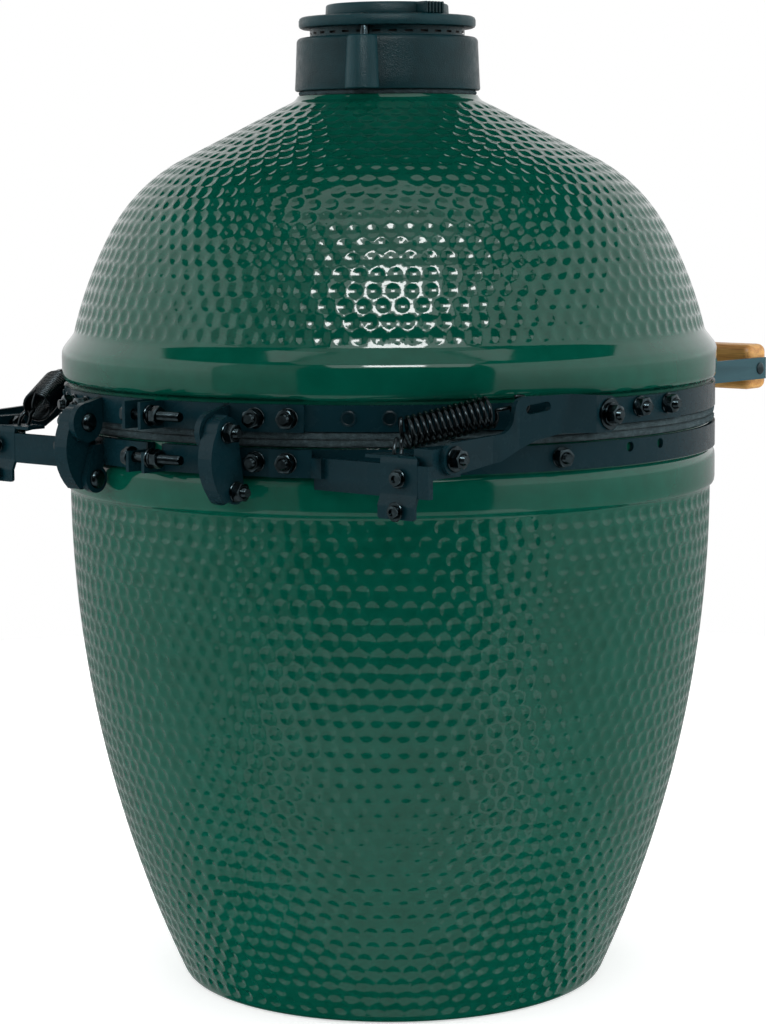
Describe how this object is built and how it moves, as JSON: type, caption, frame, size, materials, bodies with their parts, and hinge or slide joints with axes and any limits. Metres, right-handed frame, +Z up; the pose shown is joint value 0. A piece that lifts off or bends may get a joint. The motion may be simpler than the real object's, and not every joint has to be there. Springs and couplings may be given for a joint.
{
  "type": "kamado ceramic grill",
  "caption": "Egg-shaped ceramic charcoal grill: a dimpled glazed base and hinged dome with steel bands, spring arms, wooden handle and a chimney vent.",
  "frame": {"origin": "centre of the foot's flat underside, on the ground", "axes": "+Z up along the grill's axis, -Y to the front (handle and draft door), +Y to the hinge, +X to the left of someone who stands behind it"},
  "size_m": [0.5766, 0.6519, 0.8134],
  "materials": {
    "glaze": "dark green gloss glaze over small dimples",
    "clay": "matt fired clay",
    "felt": "grey felt",
    "black_steel": "black powder coat, semi-gloss",
    "bare_steel": "satin stainless steel",
    "cast_iron": "painted casting, satin",
    "dark_bolt": "blackened steel, semi-gloss",
    "wood": "light oiled wood",
    "glass": "clear"
  },
  "bodies": {
    "base": {"base_shell": "glaze", "fire_box": "clay", "charcoal_grate": "cast_iron", "fire_ring": "clay", "cooking_grid": "bare_steel", "lower_gasket": "felt", "lower_band": "black_steel", "lower_bracket_left": "black_steel", "lower_bracket_right": "black_steel", "lower_clamp_bolt": "dark_bolt", "spring_bar_left": "black_steel", "spring_bar_right": "black_steel", "anchor_plate_left": "black_steel", "anchor_plate_right": "black_steel", "anchor_screws": "dark_bolt", "lower_band_bolts": "dark_bolt", "link_pivot_bolts_low": "dark_bolt", "arm_pivot_blocks": "black_steel", "arm_pivot_bolts_rear": "dark_bolt", "draft_frame": "black_steel", "draft_frame_screws": "bare_steel", "spring_left": "dark_bolt", "spring_right": "dark_bolt"},
    "rear_links": {"rear_link_left": "black_steel", "rear_link_right": "black_steel"},
    "side_arms": {"side_arm_left": "black_steel", "side_arm_right": "black_steel"},
    "dome": {"link_pivot_bolts_top": "dark_bolt", "dome_shell": "glaze", "upper_gasket": "felt", "upper_band": "black_steel", "upper_bracket_left": "black_steel", "upper_bracket_right": "black_steel", "upper_clamp_bolt": "dark_bolt", "arm_plate_left": "black_steel", "arm_plate_right": "black_steel", "arm_plate_bolts": "dark_bolt", "arm_pivot_bolts_front": "dark_bolt", "band_rivets": "black_steel", "handle_bracket_left": "black_steel", "handle_bracket_right": "black_steel", "handle_grip": "wood", "handle_bolts": "dark_bolt", "thermometer_case": "bare_steel", "thermometer_stem": "bare_steel", "thermometer_nut": "bare_steel", "thermometer_dial": "bare_steel", "thermometer_lens": "glass", "vent_gasket": "felt", "vent_collar": "cast_iron", "vent_mesh": "bare_steel", "vent_pivot_pin": "bare_steel"},
    "thermometer_hand": {"thermometer_needle": "dark_bolt"},
    "vent_cap": {"vent_lid": "cast_iron", "vent_dial_rivet": "bare_steel"},
    "vent_wheel": {"vent_dial": "cast_iron"},
    "ash_door": {"draft_door": "bare_steel"},
    "ash_screen": {"draft_screen": "bare_steel"}
  },
  "joints": [
    {"name": "rear_link_hinge", "type": "hinge", "parent": "base", "child": "rear_links", "pos_m": [0, 0.275, 0.438], "axis": [-1, 0, 0], "range_deg": [0, 65]},
    {"name": "dome_hinge", "type": "hinge", "parent": "rear_links", "child": "dome", "pos_m": [0, 0.283, 0.483], "axis": [-1, 0, 0], "range_deg": [-15, 0]},
    {"name": "side_arm_hinge", "type": "hinge", "parent": "base", "child": "side_arms", "pos_m": [0, 0.216, 0.468], "axis": [-1, 0, 0], "range_deg": [0, 69.8], "deforming": ["spring_left", "spring_right"]},
    {"name": "needle_hinge", "type": "hinge", "parent": "dome", "child": "thermometer_hand", "pos_m": [0, -0.21134, 0.65568], "axis": [0, -0.7431, 0.6691], "range_deg": [-270, 0]},
    {"name": "vent_lid_swivel", "type": "hinge", "parent": "dome", "child": "vent_cap", "pos_m": [-0.0281, 0.06027, 0.79], "axis": [0, 0, 1], "range_deg": [0, 100]},
    {"name": "vent_dial_turn", "type": "hinge", "parent": "vent_cap", "child": "vent_wheel", "pos_m": [0, 0, 0.805], "axis": [0, 0, 1], "range_deg": [0, 36]},
    {"name": "draft_door_slide", "type": "slide", "parent": "base", "child": "ash_door", "axis": [1, 0, 0], "range_m": [0, 0.11]},
    {"name": "draft_screen_slide", "type": "slide", "parent": "base", "child": "ash_screen", "axis": [-1, 0, 0], "range_m": [0, 0.11]}
  ],
  "couplings": [
    {"joint": "dome_hinge", "follows": "rear_link_hinge", "ratio": -0.23077},
    {"joint": "side_arm_hinge", "follows": "rear_link_hinge", "ratio": 1.0738}
  ]
}
